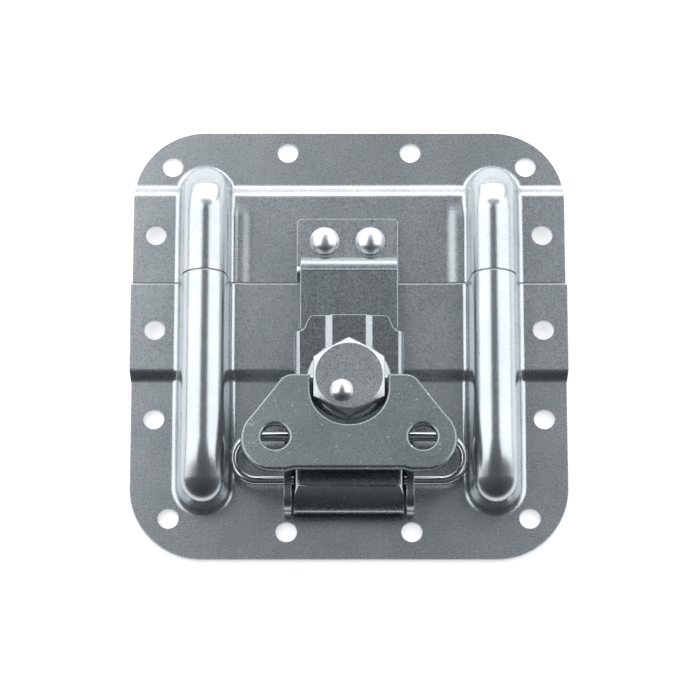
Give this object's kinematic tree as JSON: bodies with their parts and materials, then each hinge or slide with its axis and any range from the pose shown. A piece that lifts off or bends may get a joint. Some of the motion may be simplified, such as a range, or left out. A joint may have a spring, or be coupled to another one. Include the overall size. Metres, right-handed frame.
{
  "type": "butterfly twist latch on a two-part pressed dish",
  "caption": "Steel butterfly twist latch for a flight case: split pressed plate with guard ribs, keeper, hook strap, hinged cover, crank rotor and folding wing.",
  "frame": {"origin": "centre of the pressed plate's outline, on the back of its flanges", "axes": "+Z out of the plate towards the user, +Y from the latch towards the keeper half, +X to the right seen from the front"},
  "size_m": [0.112, 0.1142, 0.018],
  "materials": {
    "dish_zinc": "zinc plated pressed sheet, satin with fine draw marks",
    "keeper_zinc": "zinc plated strip, bright cut edges",
    "strap_zinc": "zinc plated strip, grain along the pull",
    "cover_zinc": "zinc plated pressed channel, glossy on the bends",
    "bracket_zinc": "zinc plated bent bracket",
    "wing_zinc": "zinc plated blanked plate, grained face and bright edges",
    "rotor_zinc": "zinc plated machined hexagon, chamfered",
    "rivet_nickel": "bright domed rivet heads",
    "spring_wire": "bright drawn round wire"
  },
  "bodies": {
    "base_half": {"lower_dish": "dish_zinc", "hinge_bracket": "bracket_zinc", "bracket_rivet_upper_left": "rivet_nickel", "bracket_rivet_upper_right": "rivet_nickel", "bracket_rivet_lower_left": "rivet_nickel", "bracket_rivet_lower_right": "rivet_nickel"},
    "lid_half": {"upper_dish": "dish_zinc", "keeper_hook": "keeper_zinc", "keeper_rivet_left": "rivet_nickel", "keeper_rivet_right": "rivet_nickel"},
    "cover": {"latch_cover": "cover_zinc", "spring_ring": "spring_wire"},
    "rotor": {"twist_rotor": "rotor_zinc", "crank_rivet": "rivet_nickel", "crank_washer": "rotor_zinc", "thrust_washer": "rotor_zinc"},
    "strap": {"hook_strap": "strap_zinc"},
    "wing": {"wing_handle": "wing_zinc", "wing_pin_left": "rivet_nickel", "wing_pin_right": "rivet_nickel"}
  },
  "joints": [
    {"name": "cover_lift", "type": "hinge", "parent": "base_half", "child": "cover", "pos_m": [0, -0.03786, 0.0056], "axis": [1, 0, 0], "range_deg": [0, 25]},
    {"name": "rotor_turn", "type": "hinge", "parent": "cover", "child": "rotor", "pos_m": [0, -0.013, 0.0135], "axis": [0, 0, 1], "range_deg": [0, 180]},
    {"name": "strap_draw", "type": "slide", "parent": "cover", "child": "strap", "axis": [0, 1, 0], "range_m": [0, 0.00785]},
    {"name": "wing_fold", "type": "hinge", "parent": "rotor", "child": "wing", "pos_m": [0, -0.013, 0.0126], "axis": [-1, 0, 0], "range_deg": [0, 80]},
    {"name": "lid_draw", "type": "slide", "parent": "base_half", "child": "lid_half", "axis": [0, 1, 0], "range_m": [0, 0.00785]}
  ],
  "couplings": [
    {"joint": "strap_draw", "follows": "rotor_turn", "m_per_rad": 0.0024955},
    {"joint": "lid_draw", "follows": "rotor_turn", "m_per_rad": 0.0024955}
  ]
}
